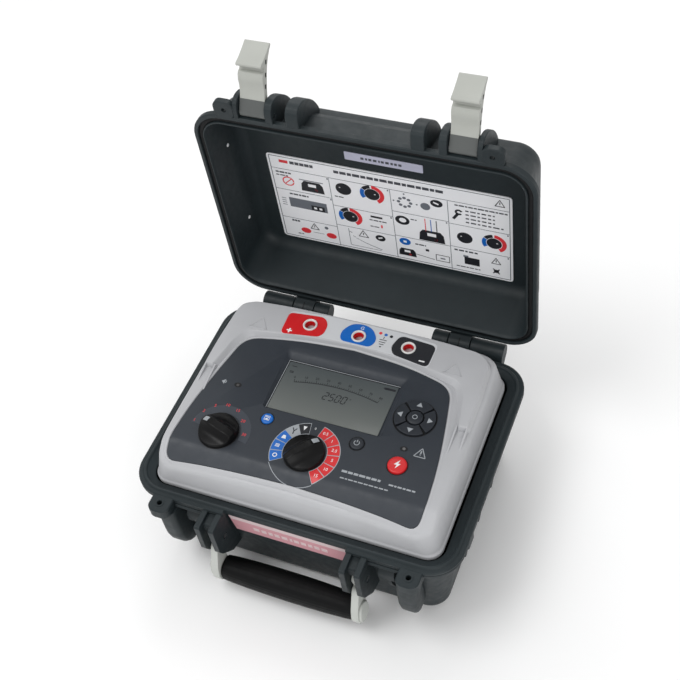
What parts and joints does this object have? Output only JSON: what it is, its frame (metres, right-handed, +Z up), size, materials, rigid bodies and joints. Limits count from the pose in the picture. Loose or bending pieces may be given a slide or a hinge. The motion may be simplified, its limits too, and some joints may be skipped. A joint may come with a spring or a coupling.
{
  "type": "insulation resistance tester",
  "caption": "Portable insulation tester in a hinged carrying case: display, selector knobs, keys and shrouded test sockets on the deck, latched lid, carrying handle.",
  "frame": {"origin": "centre of the case underside, on the supporting surface", "axes": "+Z up, -Y towards the user (the handle side), +X to the user's right"},
  "size_m": [0.315, 0.3291, 0.411],
  "materials": {
    "case_charcoal": "fine grain",
    "deck_grey": "satin",
    "overlay_slate": "satin print film",
    "display_grey": "gloss",
    "knob_black": "satin",
    "rubber_black": "matt",
    "latch_grey": "satin",
    "handle_grey": "satin",
    "signal_red": "gloss",
    "signal_blue": "gloss",
    "ring_white": "satin",
    "label_pink": "printed film",
    "card_paper": "printed card",
    "label_lilac": "printed film",
    "steel": "brushed",
    "brass": "turned",
    "board_green": "solder mask",
    "winding_copper": "taped winding",
    "cell_wrap": "shrink wrap",
    "lens_amber": "clear lens"
  },
  "bodies": {
    "case": {"base_case": "case_charcoal", "deck_panel": "deck_grey", "panel_overlay": "overlay_slate", "terminal_housing": "deck_grey", "red_terminal_label": "signal_red", "blue_terminal_label": "signal_blue", "black_terminal_label": "knob_black", "red_terminal_socket": "ring_white", "blue_terminal_socket": "ring_white", "black_terminal_socket": "ring_white", "red_terminal_contact": "brass", "blue_terminal_contact": "brass", "black_terminal_contact": "brass", "display_window": "display_grey", "display_module": "knob_black", "main_board": "board_green", "timer_rotary_switch": "knob_black", "range_rotary_switch": "knob_black", "high_voltage_transformer": "winding_copper", "battery_pack": "cell_wrap", "storage_capacitor": "knob_black", "buzzer": "knob_black", "left_status_lens": "lens_amber", "right_status_lens": "lens_amber", "front_label_plate": "label_pink", "foot_front_left": "rubber_black", "foot_front_right": "rubber_black", "foot_rear_left": "rubber_black", "foot_rear_right": "rubber_black", "case_screw_front_left": "steel", "case_screw_front_right": "steel", "case_screw_rear_left": "steel", "case_screw_rear_right": "steel", "handle_pin_left": "steel", "handle_pin_right": "steel", "hinge_pin_left": "steel", "hinge_pin_right": "steel"},
    "lid": {"lid_shell": "case_charcoal", "lid_gasket": "rubber_black", "instruction_card": "card_paper", "lid_strip_label": "label_lilac", "latch_pin_left": "steel", "latch_pin_right": "steel"},
    "latch_left": {"latch_left": "latch_grey"},
    "latch_right": {"latch_right": "latch_grey"},
    "handle": {"handle_arm_left": "handle_grey", "handle_arm_right": "handle_grey", "handle_grip": "rubber_black"},
    "timer_knob": {"timer_knob": "knob_black"},
    "range_knob": {"range_knob": "knob_black"},
    "save_button": {"save_button": "signal_blue"},
    "power_button": {"power_button": "knob_black"},
    "test_button": {"test_button": "signal_red"},
    "nav_up_key": {"nav_up_key": "knob_black"},
    "nav_down_key": {"nav_down_key": "knob_black"},
    "nav_left_key": {"nav_left_key": "knob_black"},
    "nav_right_key": {"nav_right_key": "knob_black"},
    "nav_centre_key": {"nav_centre_key": "knob_black"}
  },
  "joints": [
    {"name": "lid_hinge", "type": "hinge", "parent": "case", "child": "lid", "pos_m": [0, 0.13035, 0.1028], "axis": [-1, 0, 0], "range_deg": [-87.5, 0]},
    {"name": "left_latch_hinge", "type": "hinge", "parent": "lid", "child": "latch_left", "pos_m": [0, 0.12851, 0.35596], "axis": [-1, 0, 0], "range_deg": [-110, 0]},
    {"name": "right_latch_hinge", "type": "hinge", "parent": "lid", "child": "latch_right", "pos_m": [0, 0.12851, 0.35596], "axis": [-1, 0, 0], "range_deg": [-110, 0]},
    {"name": "handle_hinge", "type": "hinge", "parent": "case", "child": "handle", "pos_m": [0, -0.123, 0.074], "axis": [-1, 0, 0], "range_deg": [0, 95]},
    {"name": "timer_knob_turn", "type": "hinge", "parent": "case", "child": "timer_knob", "pos_m": [-0.084, -0.058, 0.139], "axis": [0, 0, 1], "range_deg": [-185, 65]},
    {"name": "range_knob_turn", "type": "hinge", "parent": "case", "child": "range_knob", "pos_m": [0, -0.057, 0.139], "axis": [0, 0, 1], "range_deg": [-97.5, 150]},
    {"name": "save_button_press", "type": "slide", "parent": "case", "child": "save_button", "axis": [0, 0, -1], "range_m": [0, 0.0015], "stiffness_N_per_m": 400, "springref_m": -0.0005},
    {"name": "power_button_press", "type": "slide", "parent": "case", "child": "power_button", "axis": [0, 0, -1], "range_m": [0, 0.0015], "stiffness_N_per_m": 400, "springref_m": -0.0005},
    {"name": "test_button_press", "type": "slide", "parent": "case", "child": "test_button", "axis": [0, 0, -1], "range_m": [0, 0.002], "stiffness_N_per_m": 500, "springref_m": -0.0005},
    {"name": "nav_up_press", "type": "slide", "parent": "case", "child": "nav_up_key", "axis": [0, 0, -1], "range_m": [0, 0.001], "stiffness_N_per_m": 400, "springref_m": -0.0005},
    {"name": "nav_down_press", "type": "slide", "parent": "case", "child": "nav_down_key", "axis": [0, 0, -1], "range_m": [0, 0.001], "stiffness_N_per_m": 400, "springref_m": -0.0005},
    {"name": "nav_left_press", "type": "slide", "parent": "case", "child": "nav_left_key", "axis": [0, 0, -1], "range_m": [0, 0.001], "stiffness_N_per_m": 400, "springref_m": -0.0005},
    {"name": "nav_right_press", "type": "slide", "parent": "case", "child": "nav_right_key", "axis": [0, 0, -1], "range_m": [0, 0.001], "stiffness_N_per_m": 400, "springref_m": -0.0005},
    {"name": "nav_centre_press", "type": "slide", "parent": "case", "child": "nav_centre_key", "axis": [0, 0, -1], "range_m": [0, 0.001], "stiffness_N_per_m": 400, "springref_m": -0.0005}
  ]
}
